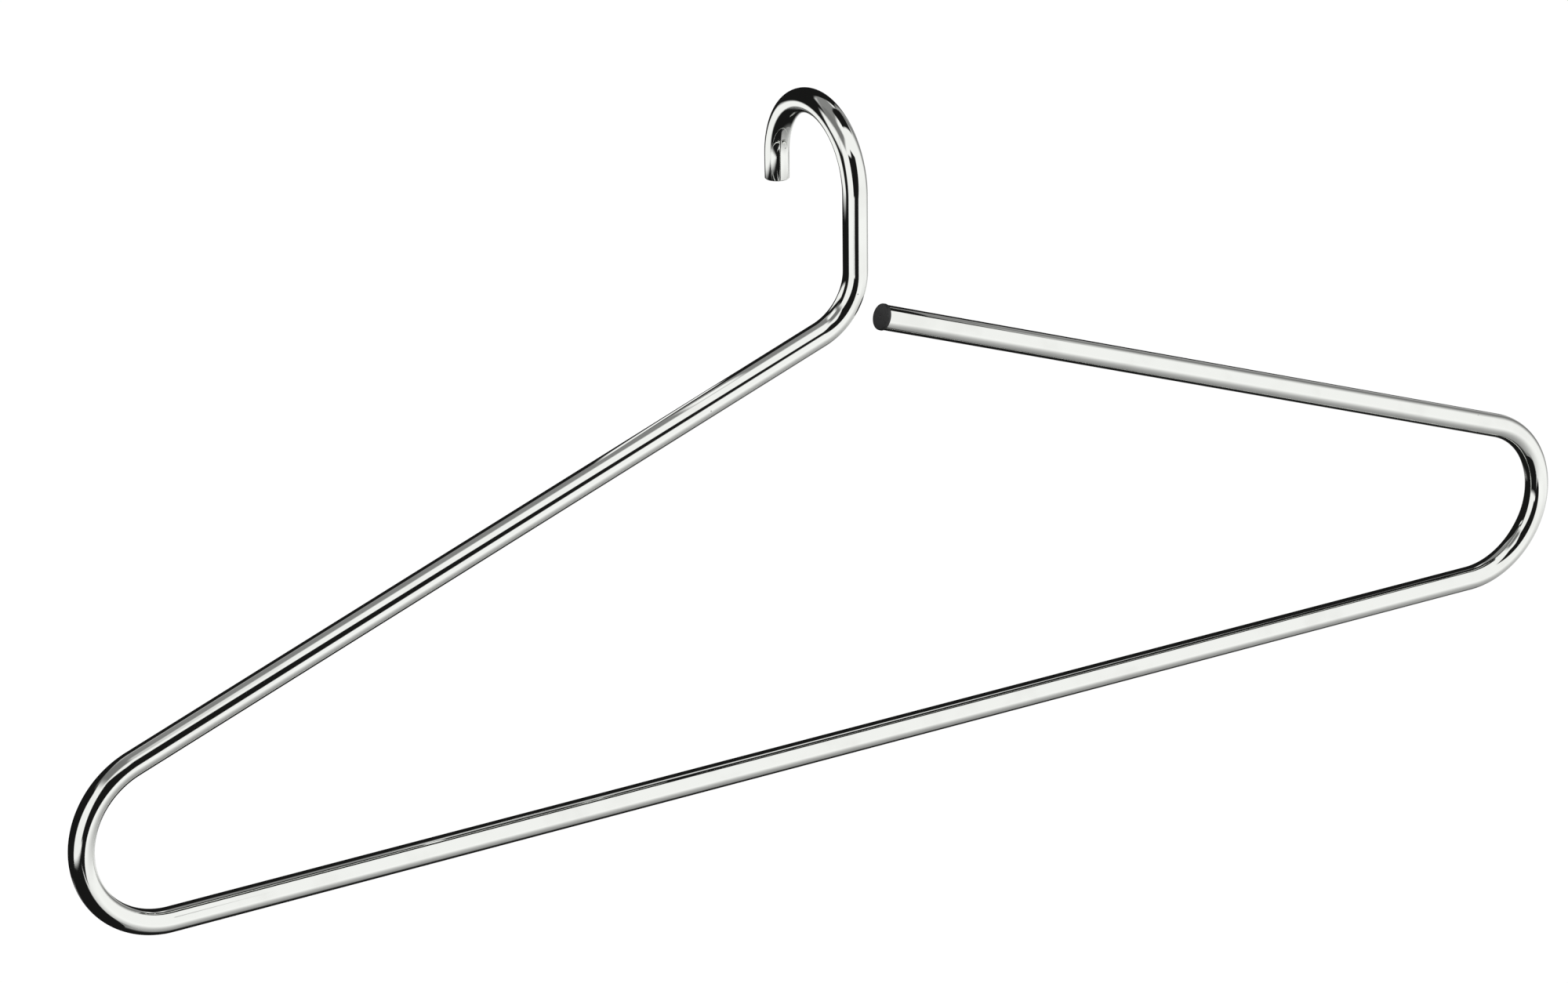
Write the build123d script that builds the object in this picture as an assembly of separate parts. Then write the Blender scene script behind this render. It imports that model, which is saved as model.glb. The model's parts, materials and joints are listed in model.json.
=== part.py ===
"""Open-ended trouser hanger: one bent, chrome-plated tube and the plastic plug in its free end.

The tube runs from the tip of the hook over the crown, down the shank, round the neck, along the
left shoulder, round the left corner, along the trouser bar, round the right corner and back up the
right arm, which ends free just short of the neck. Trousers slip in through that gap.

All sizes are in millimetres. The frame of the hanger stands in a plane of constant Y, with +X
towards the right arm and +Z up, and the hook is turned square to it, with its tip at the back (+Y).
The origin is the inside of the crown, where the rail bears.
"""

from build123d import *

import math
import os

# Tube
tube_diameter = 6.0
tube_wall = 1.0
end_deburr = 0.25

# Hook, with its bend measured on the centre line
hook_bend_radius = 17.5
tip_length = 6.0
shank_length = 18.3

# Frame, with its bends measured on the centre line
overall_width = 411.0
shoulder_slope = 20.0
neck_bend_radius = 15.0
corner_bend_radius = 20.75

# Clear way along the arm's axis from the face of the plug to the neck, where trousers go in
entry_gap = 7.5

# Plug pressed into the free end of the arm
plug_head_overhang = 0.2
plug_head_thickness = 0.8
plug_head_draft = 4.0
plug_head_rounding = 0.3
plug_bore_clearance = 0.02
plug_core_share = 0.6
plug_nose_share = 0.4
plug_rib_count = 4
plug_rib_land = 0.4
plug_rib_ramp = 1.0
plug_rib_spacing = 0.4
plug_neck_length = 1.0
plug_nose_length = 1.2

tube_radius = tube_diameter / 2
bore_radius = tube_radius - tube_wall
hook_centre_depth = hook_bend_radius - tube_radius

half_turn = 180.0
neck_turn = half_turn / 2 - shoulder_slope
corner_turn = half_turn - shoulder_slope
bar_length = overall_width - tube_diameter - 2 * corner_bend_radius
slope = math.radians(shoulder_slope)


def shoulder_length():
    """Length of the straight shoulder that puts the shank over the middle of the trouser bar."""
    half_bar = bar_length / 2
    neck_reach = neck_bend_radius * (1 - math.sin(slope))
    corner_reach = corner_bend_radius * math.sin(slope)
    return (half_bar - neck_reach + corner_reach) / math.cos(slope)


def arm_length():
    """Length of the straight arm, which lies as the shoulder does on the other side of the shank.

    Its axis is carried on past the point that mirrors the top of the shoulder until it meets the
    outside of the neck bend. The arm stops short of there by the entry gap and the plug's head.
    """
    neck_outside = neck_bend_radius + tube_radius
    along_axis = 2 * neck_bend_radius * math.cos(slope)
    to_bend_centre = neck_bend_radius * math.sqrt(5 - 4 * math.sin(slope))
    carried_on = along_axis - math.sqrt(along_axis**2 - to_bend_centre**2 + neck_outside**2)
    return shoulder_length() + carried_on - entry_gap - plug_head_thickness


def straight_from(run, length):
    """Straight run that carries on from the end of another run."""
    start = run @ 1
    return Line(start, start + (run % 1) * length)


def bend_from(run, radius, turn):
    """Bend that carries on from the end of another run; a positive turn goes to the left."""
    return JernArc(run @ 1, run % 1, radius, turn)


def hook_runs():
    """Tip and crown bend, in the plane that is square to the frame, from the tip to the shank."""
    tip_end = (hook_bend_radius, -hook_centre_depth - tip_length)
    tip = Line(tip_end, (hook_bend_radius, -hook_centre_depth))
    crown = bend_from(tip, hook_bend_radius, half_turn)
    return [Plane.YZ * tip, Plane.YZ * crown]


def frame_runs():
    """Shank, neck, shoulder, corners, bar and arm, in the plane of the frame."""
    frame_plane = Plane.XZ.offset(hook_bend_radius)
    shank_top = (0, -hook_centre_depth)
    shank = Line(shank_top, (0, -hook_centre_depth - shank_length))
    neck = bend_from(shank, neck_bend_radius, -neck_turn)
    shoulder = straight_from(neck, shoulder_length())
    left_corner = bend_from(shoulder, corner_bend_radius, corner_turn)
    bar = straight_from(left_corner, bar_length)
    right_corner = bend_from(bar, corner_bend_radius, corner_turn)
    arm = straight_from(right_corner, arm_length())
    runs = [shank, neck, shoulder, left_corner, bar, right_corner, arm]
    return [frame_plane * run for run in runs]


def tube_end_plane(run, position):
    """Plane across an open end of the tube, facing out of it."""
    outward = run % position
    if position == 0:
        outward = -outward
    return Plane(origin=run @ position, z_dir=outward)


def make_tube(runs):
    """Hollow tube swept along all its runs, with both open ends deburred inside and out."""
    centre_line = Wire([edge for run in runs for edge in run.edges()])
    wall_section = Circle(tube_radius) - Circle(bore_radius)
    tube = sweep(tube_end_plane(runs[0], 0) * wall_section, path=centre_line)
    open_end_rims = tube.faces().filter_by(GeomType.PLANE).edges()
    return chamfer(open_end_rims, end_deburr)


def stem_outline():
    """Half section of the plug's stem: radius along X, with the head above and the nose below."""
    core = bore_radius * plug_core_share
    rib = bore_radius - plug_bore_clearance
    points = [(0, 0), (core, 0)]
    depth = plug_neck_length
    for _ in range(plug_rib_count):
        ramp_top = depth + plug_rib_land
        ramp_foot = ramp_top + plug_rib_ramp
        points += [(core, -depth), (rib, -depth), (rib, -ramp_top), (core, -ramp_foot)]
        depth = ramp_foot + plug_rib_spacing
    tip_depth = depth + plug_nose_length
    points += [(core, -depth), (bore_radius * plug_nose_share, -tip_depth), (0, -tip_depth)]
    return points


def make_plug(end_plane):
    """Plug with a flat head that seats on the end of the tube and a ribbed stem in its bore."""
    seat_radius = tube_radius + plug_head_overhang
    face_radius = seat_radius - plug_head_thickness * math.tan(math.radians(plug_head_draft))
    on_seat = (Align.CENTER, Align.CENTER, Align.MIN)
    head = Cone(seat_radius, face_radius, plug_head_thickness, align=on_seat)
    head = fillet(head.edges().group_by(Axis.Z)[-1], plug_head_rounding)
    stem_section = make_face(Plane.XZ * Polyline(*stem_outline(), close=True))
    return end_plane * (head + revolve(stem_section, axis=Axis.Z))


def main():
    """Builds both pieces and writes one file for each."""
    runs = hook_runs() + frame_runs()
    pieces = {
        "hanger_tube": make_tube(runs),
        "arm_end_plug": make_plug(tube_end_plane(runs[-1], 1)),
    }
    os.makedirs("parts", exist_ok=True)
    for name, piece in pieces.items():
        piece.label = name
        export_step(piece, f"parts/{name}.step")


main()
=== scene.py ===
"""Trouser hanger of bent, chrome-plated tube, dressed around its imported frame.

The tube is drawn as a bender would make it: an open ring is fed along each straight run and turned
round each bend, then the shell gets its wall and its deburred ends. The plug in the free end is
turned up from its own profile. Lengths are in metres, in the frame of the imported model: +X towards
the free arm, +Z up, the rail at the origin and the frame of the hanger in a plane of constant Y.
"""

import json
import logging
import math
from dataclasses import dataclass, field
from enum import Enum
from typing import Any, Iterator, Sequence, Union

import bmesh
import bpy
from mathutils import Matrix, Vector

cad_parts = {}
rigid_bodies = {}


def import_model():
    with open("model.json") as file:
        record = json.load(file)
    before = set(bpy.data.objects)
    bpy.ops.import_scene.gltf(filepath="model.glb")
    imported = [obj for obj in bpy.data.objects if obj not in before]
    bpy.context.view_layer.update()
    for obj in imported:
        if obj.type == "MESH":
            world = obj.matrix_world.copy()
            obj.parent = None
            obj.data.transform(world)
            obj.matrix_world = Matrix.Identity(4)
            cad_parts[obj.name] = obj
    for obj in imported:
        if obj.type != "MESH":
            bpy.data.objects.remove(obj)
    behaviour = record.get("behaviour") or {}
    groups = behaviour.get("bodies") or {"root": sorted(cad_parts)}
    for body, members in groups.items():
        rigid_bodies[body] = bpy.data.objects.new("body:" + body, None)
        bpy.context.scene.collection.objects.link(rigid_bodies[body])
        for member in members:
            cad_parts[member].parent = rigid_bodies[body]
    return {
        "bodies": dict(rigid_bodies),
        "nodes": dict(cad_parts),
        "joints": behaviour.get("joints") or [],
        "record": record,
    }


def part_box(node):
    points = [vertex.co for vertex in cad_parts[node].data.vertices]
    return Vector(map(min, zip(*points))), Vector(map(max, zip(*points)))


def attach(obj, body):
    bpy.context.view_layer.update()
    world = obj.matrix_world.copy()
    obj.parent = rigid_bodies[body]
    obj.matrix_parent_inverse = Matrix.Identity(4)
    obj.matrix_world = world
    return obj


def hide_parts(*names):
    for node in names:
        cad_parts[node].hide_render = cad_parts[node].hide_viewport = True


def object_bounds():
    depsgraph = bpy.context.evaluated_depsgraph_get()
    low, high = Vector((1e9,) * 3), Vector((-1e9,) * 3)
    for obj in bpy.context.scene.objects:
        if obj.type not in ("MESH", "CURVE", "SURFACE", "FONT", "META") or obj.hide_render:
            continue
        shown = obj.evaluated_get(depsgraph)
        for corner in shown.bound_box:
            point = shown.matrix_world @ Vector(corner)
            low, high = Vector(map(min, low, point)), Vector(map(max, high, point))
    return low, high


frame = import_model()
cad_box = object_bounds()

log = logging.getLogger("hanger")

MM = 0.001
UP = Vector((0.0, 0.0, 1.0))
DOWN = -UP
FRONT = Vector((0.0, -1.0, 0.0))
RIGHT = Vector((1.0, 0.0, 0.0))
SMALL_GAP = 0.001 * MM
ON_PLANE = 0.01 * MM
Number = Union[int, float]
Colour = tuple[float, float, float]
Place = tuple[float, float, float]
WHITE = (1.0, 1.0, 1.0, 1.0)

# Places of the Mix node's colour sockets, whose names are the same as those of its other types
MIX_SHARE, MIX_FIRST_COLOUR, MIX_SECOND_COLOUR = 0, 6, 7
MIX_COLOUR = 2


class Ray(Enum):
    """Kinds of ray that the Light Path node tells apart."""

    CAMERA = "Is Camera Ray"
    GLOSSY = "Is Glossy Ray"
    THROUGH = "Is Transmission Ray"


class Socket:
    """Output of a shader node that can be used in Python expressions."""

    def __init__(self, sheet: "NodeSheet", socket: bpy.types.NodeSocket) -> None:
        """Wraps one output.

        Args:
            sheet: The sheet that new Math nodes go to.
            socket: The output that this stands for.
        """
        self.sheet = sheet
        self.socket = socket

    def _math(self, operation: str, *values: Union["Socket", Number], clamp: bool = False) -> "Socket":
        """Adds a Math node on the given values and returns its result."""
        settings = {"operation": operation, "use_clamp": clamp}
        return self.sheet.add("ShaderNodeMath", settings, dict(enumerate(values))).out("Value")

    def __add__(self, other: Union["Socket", Number]) -> "Socket":
        """Sum."""
        return self._math("ADD", self, other)

    __radd__ = __add__

    def __rsub__(self, other: Number) -> "Socket":
        """Difference from a number."""
        return self._math("SUBTRACT", other, self)

    def __mul__(self, other: Union["Socket", Number]) -> "Socket":
        """Product."""
        return self._math("MULTIPLY", self, other)

    __rmul__ = __mul__

    def __abs__(self) -> "Socket":
        """Size without its sign."""
        return self._math("ABSOLUTE", self)

    def clamped(self) -> "Socket":
        """Returns the value held between 0 and 1."""
        return self._math("ADD", self, 0.0, clamp=True)

    def step(self, low: float, high: float) -> "Socket":
        """Smooth step of the value.

        Args:
            low: Value at which the step starts, with a result of 0.
            high: Value at which it ends, with a result of 1.

        Returns:
            The step, between 0 and 1.
        """
        settings = {"interpolation_type": "SMOOTHSTEP"}
        inputs = {"Value": self, "From Min": low, "From Max": high}
        return self.sheet.add("ShaderNodeMapRange", settings, inputs).out("Result")


class Node:
    """Shader node whose outputs are fetched by name."""

    def __init__(self, sheet: "NodeSheet", node: bpy.types.Node) -> None:
        """Wraps one node of a sheet."""
        self.sheet = sheet
        self.node = node

    def out(self, name: Union[str, int]) -> Socket:
        """Returns the output with that name or number."""
        return Socket(self.sheet, self.node.outputs[name])


class NodeSheet:
    """Node tree of a material or a world, filled through one method."""

    def __init__(self, owner: Union[bpy.types.Material, bpy.types.World]) -> None:
        """Empties the owner's tree and keeps it.

        Args:
            owner: The material or world that is dressed.
        """
        owner.use_nodes = True
        self.tree = owner.node_tree
        self.tree.nodes.clear()

    def add(self, kind: str, settings: dict[str, Any], inputs: dict[Any, Any]) -> Node:
        """Adds a node.

        Args:
            kind: Blender's name of the node's type.
            settings: The node's own settings, set before its sockets.
            inputs: Values or links, by the socket's name or number.

        Returns:
            The node.
        """
        node = self.tree.nodes.new(kind)
        for name, value in settings.items():
            setattr(node, name, value)
        for name, value in inputs.items():
            if isinstance(value, Socket):
                self.tree.links.new(value.socket, node.inputs[name])
            else:
                node.inputs[name].default_value = value
        return Node(self, node)

    def mix_colours(
        self, share: Socket, first: Union[Socket, Colour], second: Union[Socket, Colour]
    ) -> Socket:
        """Mixes two colours.

        Args:
            share: How much of the second colour shows.
            first: Colour at a share of 0.
            second: Colour at a share of 1.

        Returns:
            The mixed colour.
        """
        low, high = [end if isinstance(end, Socket) else (*end, 1.0) for end in (first, second)]
        inputs = {MIX_SHARE: share, MIX_FIRST_COLOUR: low, MIX_SECOND_COLOUR: high}
        return self.add("ShaderNodeMix", {"data_type": "RGBA"}, inputs).out(MIX_COLOUR)

    def seen_by(self, *rays: Ray) -> Socket:
        """Returns 1 for the given kinds of ray and 0 for the others."""
        path = self.add("ShaderNodeLightPath", {}, {})
        total = path.out(rays[0].value)
        for ray in rays[1:]:
            total = total + path.out(ray.value)
        return total.clamped()

    def finish(self, shader: Socket, output: str = "ShaderNodeOutputMaterial") -> None:
        """Joins the last shader to the tree's output."""
        self.add(output, {}, {"Surface": shader})


@dataclass(frozen=True)
class ChromePlate:
    """Bright chrome plate over a drawn and polished steel tube.

    The plate is a mirror with a faint waviness from the polishing wheel, a thin film of handling
    marks that dulls it in patches, and a few pin-point pits.
    """

    tint: Colour = (0.875, 0.888, 0.858)
    film_tint: Colour = (0.835, 0.845, 0.815)
    clean_roughness: float = 0.03
    film_roughness: float = 0.06
    film_size: float = 9.0 * MM
    film_detail: float = 4.0
    film_starts: float = 0.48
    film_covers: float = 0.70
    wave_size: float = 4.0 * MM
    wave_detail: float = 1.0
    wave_height: float = 0.004 * MM
    grain_size: float = 0.35 * MM
    grain_detail: float = 2.0
    grain_height: float = 0.00025 * MM
    pit_spacing: float = 6.0 * MM
    pit_size_share: float = 0.035
    pit_floor_share: float = 0.6
    pit_roughness: float = 0.3
    pit_tint: Colour = (0.30, 0.30, 0.29)

    def make(self) -> bpy.types.Material:
        """Builds the material.

        Returns:
            The finished material.
        """
        material = bpy.data.materials.new("chrome_plate")
        sheet = NodeSheet(material)
        place = sheet.add("ShaderNodeTexCoord", {}, {}).out("Object")
        cloud = self._noise(sheet, place, self.film_size, self.film_detail)
        film = cloud.step(self.film_starts, self.film_covers)
        waves = self._noise(sheet, place, self.wave_size, self.wave_detail)
        grain = self._noise(sheet, place, self.grain_size, self.grain_detail)
        dots = sheet.add("ShaderNodeTexVoronoi", {"feature": "F1"},
                         {"Vector": place, "Scale": 1.0 / self.pit_spacing})
        pit_floor = self.pit_floor_share * self.pit_size_share
        pits = 1.0 - dots.out("Distance").step(pit_floor, self.pit_size_share)
        wavy = sheet.add("ShaderNodeBump", {}, {"Height": waves, "Distance": self.wave_height})
        bumpy = sheet.add("ShaderNodeBump", {}, {"Height": grain, "Distance": self.grain_height,
                                                 "Normal": wavy.out("Normal")})
        plate = sheet.mix_colours(film, self.tint, self.film_tint)
        spread = self.film_roughness - self.clean_roughness
        roughness = self.clean_roughness + film * spread + pits * self.pit_roughness
        shader = sheet.add("ShaderNodeBsdfPrincipled", {}, {
            "Base Color": sheet.mix_colours(pits, plate, self.pit_tint),
            "Metallic": 1.0,
            "Roughness": roughness,
            "Normal": bumpy.out("Normal"),
        })
        sheet.finish(shader.out("BSDF"))
        return material

    @staticmethod
    def _noise(sheet: NodeSheet, place: Socket, size: float, detail: float) -> Socket:
        """Returns noise whose features have about the given size."""
        inputs = {"Vector": place, "Scale": 1.0 / size, "Detail": detail}
        return sheet.add("ShaderNodeTexNoise", {}, inputs).out("Fac")


@dataclass(frozen=True)
class MouldedPlastic:
    """Black moulded plastic with the fine spark grain of its mould."""

    colour: Colour = (0.020, 0.020, 0.0205)
    worn_colour: Colour = (0.030, 0.030, 0.031)
    roughness: float = 0.42
    grain_size: float = 0.12 * MM
    grain_height: float = 0.006 * MM
    cloud_size: float = 2.5 * MM
    cloud_detail: float = 3.0
    wear_starts: float = 0.35
    wear_covers: float = 0.75
    cloud_roughness: float = 0.16

    def make(self) -> bpy.types.Material:
        """Builds the material.

        Returns:
            The finished material.
        """
        material = bpy.data.materials.new("moulded_plastic")
        sheet = NodeSheet(material)
        place = sheet.add("ShaderNodeTexCoord", {}, {}).out("Object")
        grain = sheet.add("ShaderNodeTexVoronoi", {"feature": "SMOOTH_F1"},
                          {"Vector": place, "Scale": 1.0 / self.grain_size}).out("Distance")
        cloud = sheet.add("ShaderNodeTexNoise", {},
                          {"Vector": place, "Scale": 1.0 / self.cloud_size,
                           "Detail": self.cloud_detail}).out("Fac")
        worn = cloud.step(self.wear_starts, self.wear_covers)
        bumpy = sheet.add("ShaderNodeBump", {}, {"Height": grain, "Distance": self.grain_height})
        shader = sheet.add("ShaderNodeBsdfPrincipled", {}, {
            "Base Color": sheet.mix_colours(worn, self.colour, self.worn_colour),
            "Roughness": self.roughness + self.cloud_roughness * cloud,
            "Normal": bumpy.out("Normal"),
        })
        sheet.finish(shader.out("BSDF"))
        return material


@dataclass(frozen=True)
class Straight:
    """Straight run of the tube."""

    length: float
    span: float = 12.0 * MM

    def feed(self, start: Vector, heading: Vector) -> tuple[Vector, Vector]:
        """Draws the open ring straight on.

        Args:
            start: Centre of the ring.
            heading: Unit vector along the tube.

        Returns:
            Centre and heading at the end of the run.
        """
        spans = math.ceil(self.length / self.span)
        advance = heading * (self.length / spans)
        for _ in range(spans):
            bpy.ops.mesh.extrude_region_move(TRANSFORM_OT_translate={"value": advance})
        return start + heading * self.length, heading


@dataclass(frozen=True)
class Bend:
    """Bend of the tube, turned about a centre beside it."""

    radius: float
    turn: float
    towards: Vector
    step: float = math.radians(2.0)

    def feed(self, start: Vector, heading: Vector) -> tuple[Vector, Vector]:
        """Turns the open ring round the bend.

        Args:
            start: Centre of the ring.
            heading: Unit vector along the tube.

        Returns:
            Centre and heading at the end of the run.
        """
        inward = (self.towards - heading * self.towards.dot(heading)).normalized()
        centre = start + inward * self.radius
        axis = heading.cross(inward)
        steps = math.ceil(self.turn / self.step)
        bpy.ops.mesh.spin(steps=steps, angle=-self.turn, center=centre, axis=axis)
        turning = Matrix.Rotation(self.turn, 3, axis)
        return centre + turning @ (start - centre), turning @ heading


@dataclass
class HangerTube:
    """The one bent tube: tip, hook, shank, neck, shoulder, corners, trouser bar and arm."""

    radius: float
    overall_width: float
    hook_bend_radius: float
    corner_bend_radius: float
    arm_length: float
    wall: float = 1.0 * MM
    deburr: float = 0.25 * MM
    tip_length: float = 6.0 * MM
    shank_length: float = 18.3 * MM
    neck_bend_radius: float = 15.0 * MM
    shoulder_slope: float = math.radians(20.0)
    sides: int = 96
    deburr_segments: int = 3
    crease: float = math.radians(25.0)
    ends: list[tuple[Vector, Vector]] = field(default_factory=list)

    @classmethod
    def from_frame(cls, loaded: dict[str, Any]) -> "HangerTube":
        """Takes the tube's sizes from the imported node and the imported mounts.


        Returns:
            The tube, not yet built.
        """
        low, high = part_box("hanger_tube")
        dims = {mount["name"]: mount["dims"] for mount in loaded["record"]["mounts"]}
        radius = dims["open_arm"]["r_mm"] * MM
        width = high.x - low.x
        bar_length = dims["trouser_bar"]["length_mm"] * MM
        return cls(
            radius=radius,
            overall_width=width,
            hook_bend_radius=dims["rail_hook"]["r_mm"] * MM + radius,
            corner_bend_radius=(width - 2 * radius - bar_length) / 2,
            arm_length=dims["open_arm"]["length_mm"] * MM + cls.deburr,
        )

    def crown_drop(self) -> float:
        """Returns how far the centre of the hook's bend lies below the top of the rail."""
        return self.hook_bend_radius - self.radius

    def shoulder_length(self) -> float:
        """Returns the length that puts the shank over the middle of the trouser bar."""
        half_bar = self.overall_width / 2 - self.radius - self.corner_bend_radius
        neck_reach = self.neck_bend_radius * (1 - math.sin(self.shoulder_slope))
        corner_reach = self.corner_bend_radius * math.sin(self.shoulder_slope)
        return (half_bar - neck_reach + corner_reach) / math.cos(self.shoulder_slope)

    def runs(self) -> Iterator[Union[Straight, Bend]]:
        """Yields the runs in the order in which the tube goes through the bender."""
        bar_length = self.overall_width - 2 * (self.radius + self.corner_bend_radius)
        corner_turn = math.pi - self.shoulder_slope
        yield Straight(self.tip_length)
        yield Bend(self.hook_bend_radius, math.pi, FRONT)
        yield Straight(self.shank_length)
        yield Bend(self.neck_bend_radius, math.pi / 2 - self.shoulder_slope, -RIGHT)
        yield Straight(self.shoulder_length())
        yield Bend(self.corner_bend_radius, corner_turn, DOWN)
        yield Straight(bar_length)
        yield Bend(self.corner_bend_radius, corner_turn, UP)
        yield Straight(self.arm_length)

    def bend(self) -> bpy.types.Object:
        """Draws the outer shell of the tube through all its runs.

        Returns:
            The shell, open at both ends, with its normals outwards.
        """
        place = Vector((0.0, self.hook_bend_radius, -self.crown_drop() - self.tip_length))
        heading = UP
        self.ends = [(place.copy(), -heading)]
        bpy.ops.object.select_all(action="DESELECT")
        bpy.ops.mesh.primitive_circle_add(vertices=self.sides, radius=self.radius, location=place)
        bpy.ops.object.transform_apply(location=True, rotation=True, scale=True)
        shell = bpy.context.object
        shell.name = shell.data.name = "bent_tube"
        bpy.ops.object.mode_set(mode="EDIT")
        bpy.ops.mesh.select_all(action="SELECT")
        for run in self.runs():
            place, heading = run.feed(place, heading)
        self.ends.append((place, heading))
        bpy.ops.mesh.select_all(action="SELECT")
        bpy.ops.mesh.remove_doubles(threshold=SMALL_GAP)
        bpy.ops.mesh.normals_make_consistent(inside=False)
        bpy.ops.object.mode_set(mode="OBJECT")
        return shell

    def give_wall(self, shell: bpy.types.Object) -> None:
        """Thickens the shell inwards, which also opens the bore and closes both rims.

        Args:
            shell: The outer shell of the tube.
        """
        wall = shell.modifiers.new("wall", "SOLIDIFY")
        wall.thickness = self.wall
        wall.offset = -1.0
        wall.use_even_offset = True
        wall.use_rim = True
        bpy.ops.object.modifier_apply(modifier=wall.name)

    def deburr_ends(self, tube: bpy.types.Object) -> None:
        """Breaks the sharp edges of both rims, outside and in the bore.

        Args:
            tube: The tube with its wall.
        """
        for centre, outward in self.ends:
            select_edges_on(tube, centre, outward, (self.radius, self.radius - self.wall))
            bpy.ops.mesh.bevel(offset=self.deburr, segments=self.deburr_segments, affect="EDGES")
            bpy.ops.object.mode_set(mode="OBJECT")

    def build(self, plate: bpy.types.Material) -> bpy.types.Object:
        """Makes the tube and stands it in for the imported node.

        Args:
            plate: The material of its surface.

        Returns:
            The finished piece.
        """
        tube = self.bend()
        self.give_wall(tube)
        self.deburr_ends(tube)
        dress(tube, plate, self.crease)
        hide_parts("hanger_tube")
        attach(tube, "root")
        return tube


@dataclass
class EndPlug:
    """Plastic plug in the free end of the arm: a flat head on the rim and a ribbed stem in the bore."""

    tube: HangerTube
    head_overhang: float = 0.2 * MM
    head_thickness: float = 0.8 * MM
    head_draft: float = math.radians(4.0)
    head_rounding: float = 0.3 * MM
    bore_clearance: float = 0.02 * MM
    core_share: float = 0.6
    nose_share: float = 0.4
    rib_count: int = 4
    rib_land: float = 0.4 * MM
    rib_ramp: float = 1.0 * MM
    rib_spacing: float = 0.4 * MM
    neck_length: float = 1.0 * MM
    nose_length: float = 1.2 * MM
    gate_radius: float = 0.45 * MM
    gate_depth: float = 0.08 * MM
    sides: int = 72
    rounding_segments: int = 5
    crease: float = math.radians(30.0)

    def profile(self) -> list[tuple[float, float]]:
        """Works out the plug's outline.

        Returns:
            Radius and height above the seat, from the tip of the stem to the edge of the head.
        """
        bore = self.tube.radius - self.tube.wall
        core = bore * self.core_share
        rib = bore - self.bore_clearance
        seat = self.tube.radius + self.head_overhang
        face = seat - self.head_thickness * math.tan(self.head_draft)
        outline = [(face, self.head_thickness), (seat, 0.0), (core, 0.0)]
        depth = self.neck_length
        for _ in range(self.rib_count):
            land_end = depth + self.rib_land
            ramp_end = land_end + self.rib_ramp
            outline += [(core, -depth), (rib, -depth), (rib, -land_end), (core, -ramp_end)]
            depth = ramp_end + self.rib_spacing
        outline += [(core, -depth), (bore * self.nose_share, -depth - self.nose_length)]
        return outline[::-1]

    def turn_up(self) -> bpy.types.Object:
        """Draws the plug ring by ring along its profile, upright at the origin.

        Returns:
            The closed plug, seated at the origin with its head upwards.
        """
        outline = self.profile()
        radius, height = outline[0]
        bpy.ops.object.select_all(action="DESELECT")
        bpy.ops.mesh.primitive_circle_add(
            vertices=self.sides, radius=radius, fill_type="NGON", location=(0.0, 0.0, height))
        bpy.ops.object.transform_apply(location=True, rotation=True, scale=True)
        plug = bpy.context.object
        plug.name = plug.data.name = "end_plug"
        bpy.ops.object.mode_set(mode="EDIT")
        bpy.ops.mesh.select_all(action="SELECT")
        for next_radius, next_height in outline[1:]:
            bpy.ops.mesh.extrude_region_move(
                TRANSFORM_OT_translate={"value": (0.0, 0.0, next_height - height)})
            ratio = next_radius / radius
            bpy.ops.transform.resize(value=(ratio, ratio, 1.0), center_override=(0.0, 0.0, next_height))
            radius, height = next_radius, next_height
        bpy.ops.mesh.select_all(action="SELECT")
        bpy.ops.mesh.normals_make_consistent(inside=False)
        bpy.ops.object.mode_set(mode="OBJECT")
        return plug

    def finish_head(self, plug: bpy.types.Object) -> None:
        """Rounds the edge of the head and sinks the mark that the mould's gate leaves.

        Args:
            plug: The plug, upright at the origin.
        """
        face_radius = self.profile()[-1][0]
        top = Vector((0.0, 0.0, self.head_thickness))
        select_edges_on(plug, top, UP, (face_radius,))
        bpy.ops.mesh.bevel(offset=self.head_rounding, segments=self.rounding_segments, affect="EDGES")
        bpy.ops.object.mode_set(mode="OBJECT")
        select_faces_on(plug, top, UP)
        flat_radius = face_radius - self.head_rounding
        bpy.ops.mesh.inset(thickness=flat_radius - self.gate_radius)
        bpy.ops.mesh.inset(thickness=self.gate_depth, depth=-self.gate_depth)
        bpy.ops.object.mode_set(mode="OBJECT")

    def seat(self, plug: bpy.types.Object) -> None:
        """Moves the plug from the origin to the free end of the arm.

        Args:
            plug: The plug, upright at the origin.
        """
        centre, outward = self.tube.ends[-1]
        plug.rotation_mode = "QUATERNION"
        plug.rotation_quaternion = outward.to_track_quat("Z", "Y")
        plug.location = centre
        bpy.ops.object.select_all(action="DESELECT")
        plug.select_set(True)
        bpy.context.view_layer.objects.active = plug
        bpy.ops.object.transform_apply(location=True, rotation=True, scale=True)

    def build(self, plastic: bpy.types.Material) -> bpy.types.Object:
        """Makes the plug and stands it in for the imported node.

        Args:
            plastic: The material of its surface.

        Returns:
            The finished piece.
        """
        plug = self.turn_up()
        self.finish_head(plug)
        self.seat(plug)
        dress(plug, plastic, self.crease)
        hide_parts("arm_end_plug")
        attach(plug, "root")
        return plug


def open_for_edit(piece: bpy.types.Object) -> bmesh.types.BMesh:
    """Puts one piece in edit mode with nothing selected.

    Args:
        piece: The piece to work on.

    Returns:
        Its edit mesh.
    """
    bpy.ops.object.select_all(action="DESELECT")
    piece.select_set(True)
    bpy.context.view_layer.objects.active = piece
    bpy.ops.object.mode_set(mode="EDIT")
    bpy.ops.mesh.select_all(action="DESELECT")
    return bmesh.from_edit_mesh(piece.data)


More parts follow.
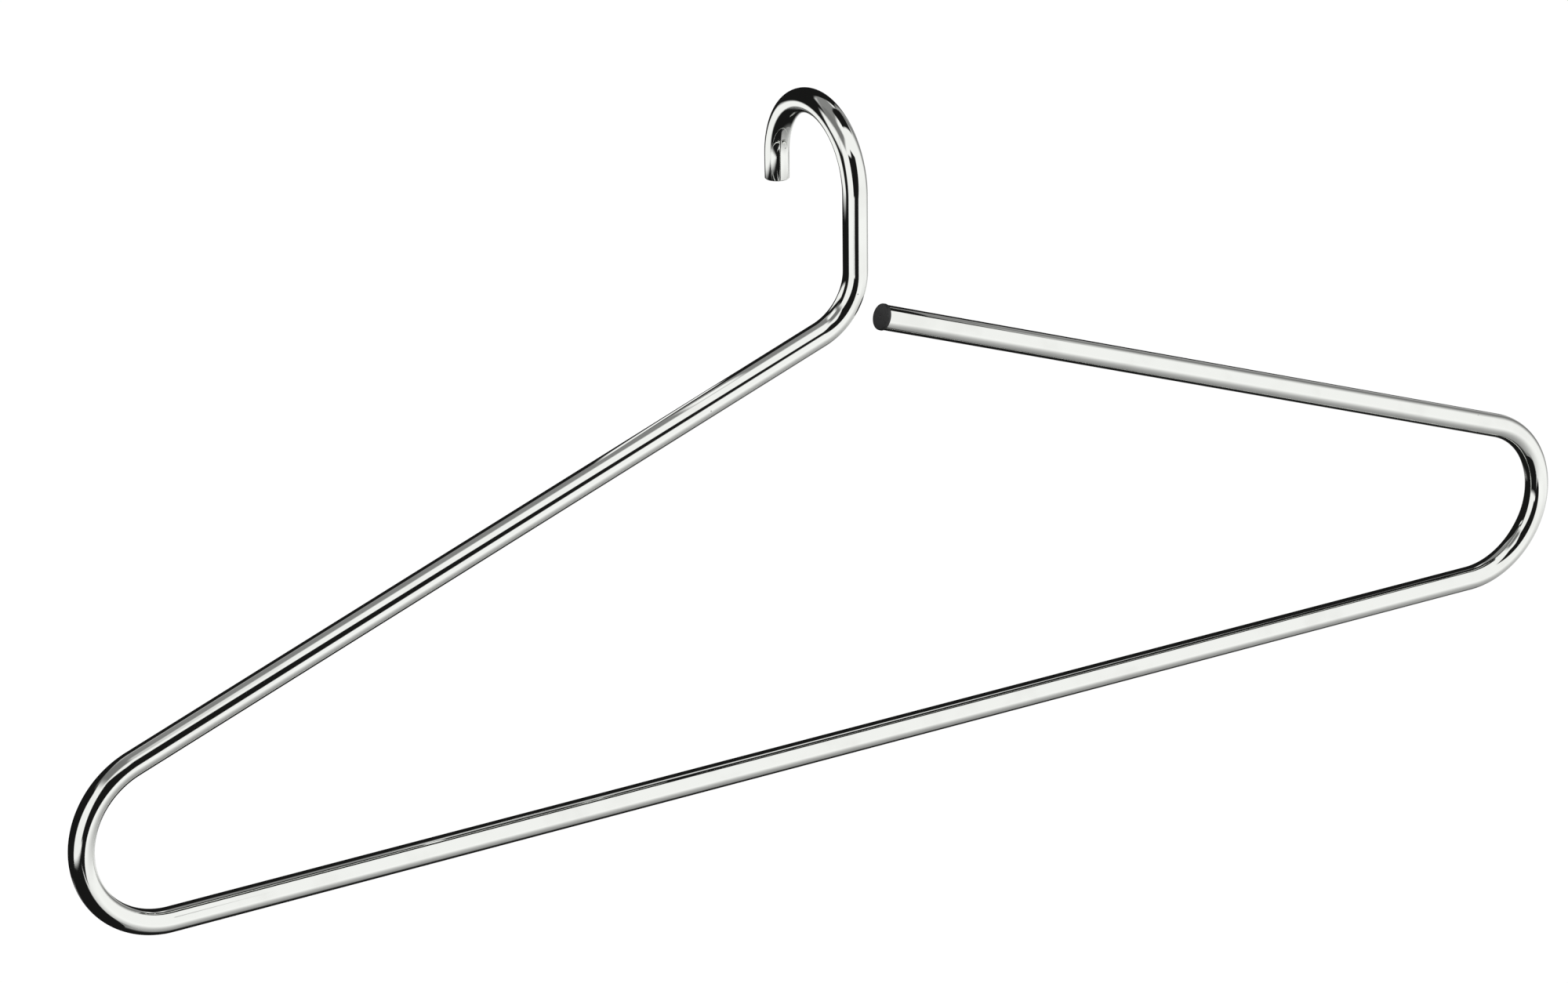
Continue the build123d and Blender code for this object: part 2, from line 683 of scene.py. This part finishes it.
def select_edges_on(
    piece: bpy.types.Object, centre: Vector, normal: Vector, radii: Sequence[float]
) -> None:
    """Selects the round edges that lie on a plane, at given distances from its centre.

    Args:
        piece: The piece to work on, left in edit mode.
        centre: Centre of the rings, on the plane.
        normal: Unit vector square to the plane.
        radii: Radii of the rings to select.
    """
    mesh = open_for_edit(piece)
    bpy.ops.mesh.select_mode(type="EDGE")
    for edge in mesh.edges:
        arms = [vertex.co - centre for vertex in edge.verts]
        on_plane = all(abs(arm.dot(normal)) < ON_PLANE for arm in arms)
        on_ring = any(all(abs(arm.length - radius) < ON_PLANE for arm in arms) for radius in radii)
        edge.select_set(on_plane and on_ring)
    bmesh.update_edit_mesh(piece.data)


def select_faces_on(piece: bpy.types.Object, centre: Vector, normal: Vector) -> None:
    """Selects the faces that lie on a plane.

    Args:
        piece: The piece to work on, left in edit mode.
        centre: A point of the plane.
        normal: Unit vector square to the plane.
    """
    mesh = open_for_edit(piece)
    bpy.ops.mesh.select_mode(type="FACE")
    for face in mesh.faces:
        face.select_set(all(abs((vertex.co - centre).dot(normal)) < ON_PLANE for vertex in face.verts))
    bmesh.update_edit_mesh(piece.data)


def dress(piece: bpy.types.Object, material: bpy.types.Material, crease: float) -> None:
    """Gives a piece its material and its smooth shading.

    Args:
        piece: The piece to dress.
        material: The material of its whole surface.
        crease: Angle above which an edge stays sharp.
    """
    piece.data.materials.clear()
    piece.data.materials.append(material)
    bpy.ops.object.select_all(action="DESELECT")
    piece.select_set(True)
    bpy.context.view_layer.objects.active = piece
    bpy.ops.object.shade_smooth_by_angle(angle=crease)


@dataclass(frozen=True)
class Card:
    """Flat card that stands off the hanger and that the metal mirrors, but the camera doesn't see.

    Azimuth is 0 behind the hanger, 90 at its right and -90 at its left, and elevation is above the
    horizon, both in degrees and seen from the point that the card faces. The roll is in degrees
    too. A tone of 0 is black and a tone of 1 is as white as the surroundings.
    """

    name: str
    azimuth: float
    elevation: float
    distance: float
    width: float
    height: float
    soft_edge: float = 0.1
    roll: float = 0.0
    tone: float = 0.01

    def axes(self) -> tuple[Vector, Vector, Vector]:
        """Returns the card's right, up and outward directions."""
        azimuth, elevation = math.radians(self.azimuth), math.radians(self.elevation)
        flat = Vector((math.sin(azimuth), math.cos(azimuth), 0.0))
        outward = flat * math.cos(elevation) + UP * math.sin(elevation)
        right = Vector((math.cos(azimuth), -math.sin(azimuth), 0.0))
        right = Matrix.Rotation(-math.radians(self.roll), 3, outward) @ right
        return right, right.cross(outward), outward

    def surface(self) -> bpy.types.Material:
        """Builds the card's material, which thins out towards its edges.

        Returns:
            The material.
        """
        material = bpy.data.materials.new(self.name)
        material.cycles.emission_sampling = "NONE"
        sheet = NodeSheet(material)
        place = sheet.add("ShaderNodeTexCoord", {}, {}).out("Object")
        split = sheet.add("ShaderNodeSeparateXYZ", {}, {"Vector": place})
        reach = self.soft_edge / 2
        covered = (
            (self.width / 2 - abs(split.out("X"))).step(-reach, reach)
            * (self.height / 2 - abs(split.out("Y"))).step(-reach, reach)
        )
        toned = sheet.add("ShaderNodeEmission", {}, {"Color": WHITE, "Strength": self.tone})
        clear = sheet.add("ShaderNodeBsdfTransparent", {}, {})
        mixed = sheet.add("ShaderNodeMixShader", {},
                          {"Fac": covered, 1: clear.out("BSDF"), 2: toned.out("Emission")})
        sheet.finish(mixed.out("Shader"))
        return material

    def stand(self, point: Vector) -> bpy.types.Object:
        """Makes the card and stands it away from a point.

        Args:
            point: The point that the card faces.

        Returns:
            The card, seen only by glossy rays.
        """
        right, upwards, outward = self.axes()
        bpy.ops.object.select_all(action="DESELECT")
        bpy.ops.mesh.primitive_plane_add(size=1.0)
        card = bpy.context.object
        card.name = card.data.name = self.name
        card.scale = (self.width + self.soft_edge, self.height + self.soft_edge, 1.0)
        bpy.ops.object.transform_apply(location=False, rotation=False, scale=True)
        turned = Matrix((right, upwards, right.cross(upwards))).transposed().to_4x4()
        card.matrix_world = Matrix.Translation(point + outward * self.distance) @ turned
        card.data.materials.append(self.surface())
        card.visible_camera = False
        card.visible_diffuse = False
        card.visible_transmission = False
        card.visible_volume_scatter = False
        card.visible_shadow = False
        return card


@dataclass
class Studio:
    """Pale floor and surroundings, plain soft light, and the cards that the chrome mirrors.

    The far cards stand round the middle of the hanger. The hook's tip and crown mirror mostly the
    dark ones, so two small pale cards stand close by, round the centre of the hook's bend.
    """

    middle: Vector
    hook: Vector
    floor_drop: float = 1.7
    floor_size: float = 80.0
    floor_colour: Colour = (0.98, 0.98, 0.98)
    plain_level: float = 0.6
    lamp_place: Vector = field(default_factory=lambda: Vector((-1.6, -1.9, 2.0)))
    lamp_size: float = 1.6
    lamp_power: float = 26.0
    far_cards: Sequence[Card] = (
        Card("back_left_flag", azimuth=-40, elevation=5, distance=1.2,
             width=3.0, height=2.2, soft_edge=0.3),
        Card("back_right_flag", azimuth=20, elevation=20, distance=1.2,
             width=1.6, height=1.6, soft_edge=0.2),
        Card("camera_cloth", azimuth=-155, elevation=10, distance=1.2, width=0.8, height=1.1),
        Card("tall_flag", azimuth=-170, elevation=5, distance=1.3, width=0.8, height=2.0, roll=20),
        Card("narrow_flag", azimuth=180, elevation=30, distance=1.2, width=0.6, height=0.2, roll=10),
        Card("bar_strip", azimuth=85, elevation=60, distance=1.2, width=0.6, height=1.2, roll=-10),
        Card("low_left_flag", azimuth=-100, elevation=-55, distance=1.2,
             width=2.4, height=1.4, soft_edge=0.3),
        Card("floor_cloth", azimuth=-30, elevation=-70, distance=1.1,
             width=2.6, height=1.6, soft_edge=0.8),
        Card("floor_shade", azimuth=0, elevation=-90, distance=1.3,
             width=4.0, height=3.0, soft_edge=3.0, tone=0.3),
        Card("side_card", azimuth=70, elevation=10, distance=1.3,
             width=0.8, height=1.6, soft_edge=0.8, tone=0.2),
        Card("grey_ceiling", azimuth=-20, elevation=70, distance=1.3,
             width=1.6, height=1.0, soft_edge=0.3, tone=0.25),
        Card("left_ceiling", azimuth=-95, elevation=55, distance=1.2,
             width=1.2, height=0.7, soft_edge=0.3, tone=0.2),
    )
    hook_cards: Sequence[Card] = (
        Card("tip_card", azimuth=-45, elevation=-10, distance=60 * MM,
             width=70 * MM, height=30 * MM, soft_edge=10 * MM, tone=1.0),
        Card("crown_card", azimuth=-90, elevation=35, distance=50 * MM,
             width=35 * MM, height=25 * MM, soft_edge=10 * MM, tone=1.0),
    )

    def lay_floor(self) -> bpy.types.Object:
        """Lays the pale floor as far below the hanger as a room's floor is below a wardrobe rail.

        Its glow adds only what the plain light leaves missing to white, so the floor keeps shadows.

        Returns:
            The floor.
        """
        bpy.ops.object.select_all(action="DESELECT")
        bpy.ops.mesh.primitive_plane_add(size=self.floor_size, location=(0.0, 0.0, -self.floor_drop))
        floor = bpy.context.object
        floor.name = floor.data.name = "floor"
        material = bpy.data.materials.new("pale_floor")
        sheet = NodeSheet(material)
        matt = sheet.add("ShaderNodeBsdfDiffuse", {}, {"Color": (*self.floor_colour, 1.0)}).out("BSDF")
        missing = 1.0 - self.plain_level * self.floor_colour[0]
        seen = sheet.seen_by(Ray.CAMERA, Ray.GLOSSY, Ray.THROUGH)
        glow = sheet.add("ShaderNodeEmission", {}, {"Color": WHITE, "Strength": seen * missing})
        both = sheet.add("ShaderNodeAddShader", {}, {0: matt, 1: glow.out("Emission")})
        sheet.finish(both.out("Shader"))
        floor.data.materials.append(material)
        return floor

    def light(self) -> None:
        """Sets the white surroundings and one large soft lamp at a plain level."""
        world = bpy.data.worlds.new("white_surroundings")
        bpy.context.scene.world = world
        sheet = NodeSheet(world)
        seen = sheet.seen_by(Ray.CAMERA, Ray.GLOSSY, Ray.THROUGH)
        strength = self.plain_level + seen * (1.0 - self.plain_level)
        surroundings = sheet.add("ShaderNodeBackground", {}, {"Color": WHITE, "Strength": strength})
        sheet.finish(surroundings.out("Background"), "ShaderNodeOutputWorld")
        lamp = bpy.data.lights.new("soft_lamp", "AREA")
        lamp.shape = "DISK"
        lamp.size = self.lamp_size
        lamp.energy = self.lamp_power
        holder = bpy.data.objects.new("soft_lamp", lamp)
        holder.location = self.lamp_place
        holder.rotation_mode = "QUATERNION"
        holder.rotation_quaternion = (self.lamp_place - self.middle).to_track_quat("Z", "Y")
        holder.visible_glossy = False
        bpy.context.scene.collection.objects.link(holder)

    def build(self) -> None:
        """Sets the whole studio."""
        self.lay_floor()
        self.light()
        for card in self.far_cards:
            card.stand(self.middle)
        for card in self.hook_cards:
            card.stand(self.hook)


@dataclass(frozen=True)
class Viewpoint:
    """Camera in front of the hanger, to its left and above. Its heading runs from +Y towards +X."""

    place: Place = (-0.6819, -1.1289, 0.4487)
    heading: float = math.radians(30.78)
    dip: float = math.radians(22.38)
    roll: float = math.radians(-0.62)
    lens: float = 137.6
    sensor_width: float = 36.0

    def set_up(self) -> bpy.types.Object:
        """Makes the camera and gives it to the scene.

        Returns:
            The camera.
        """
        camera = bpy.data.cameras.new("camera")
        camera.lens = self.lens
        camera.sensor_width = self.sensor_width
        level = Vector((math.sin(self.heading), math.cos(self.heading), 0.0))
        ahead = level * math.cos(self.dip) - UP * math.sin(self.dip)
        right = Vector((math.cos(self.heading), -math.sin(self.heading), 0.0))
        upwards = right.cross(ahead)
        rolled_right = right * math.cos(self.roll) + upwards * math.sin(self.roll)
        rolled_up = rolled_right.cross(ahead)
        turned = Matrix((rolled_right, rolled_up, -ahead)).transposed().to_4x4()
        holder = bpy.data.objects.new("camera", camera)
        holder.matrix_world = Matrix.Translation(Vector(self.place)) @ turned
        bpy.context.scene.collection.objects.link(holder)
        bpy.context.scene.camera = holder
        return holder


def report(piece: bpy.types.Object) -> None:
    """Logs a piece's name and how many faces it has."""
    log.info("%s: %d faces", piece.name, len(piece.data.polygons))


def main() -> None:
    """Builds the hanger, its finishes and the studio, and reports each piece."""
    logging.basicConfig(level=logging.INFO, format="%(name)s: %(message)s")
    bpy.context.scene.view_settings.view_transform = "Standard"
    tube = HangerTube.from_frame(frame)
    report(tube.build(ChromePlate().make()))
    report(EndPlug(tube).build(MouldedPlastic().make()))
    low, high = cad_box
    middle = (low + high) / 2
    middle.y = tube.ends[-1][0].y
    Studio(middle, hook=DOWN * tube.crown_drop()).build()
    Viewpoint().set_up()


if __name__ == "__main__":
    main()
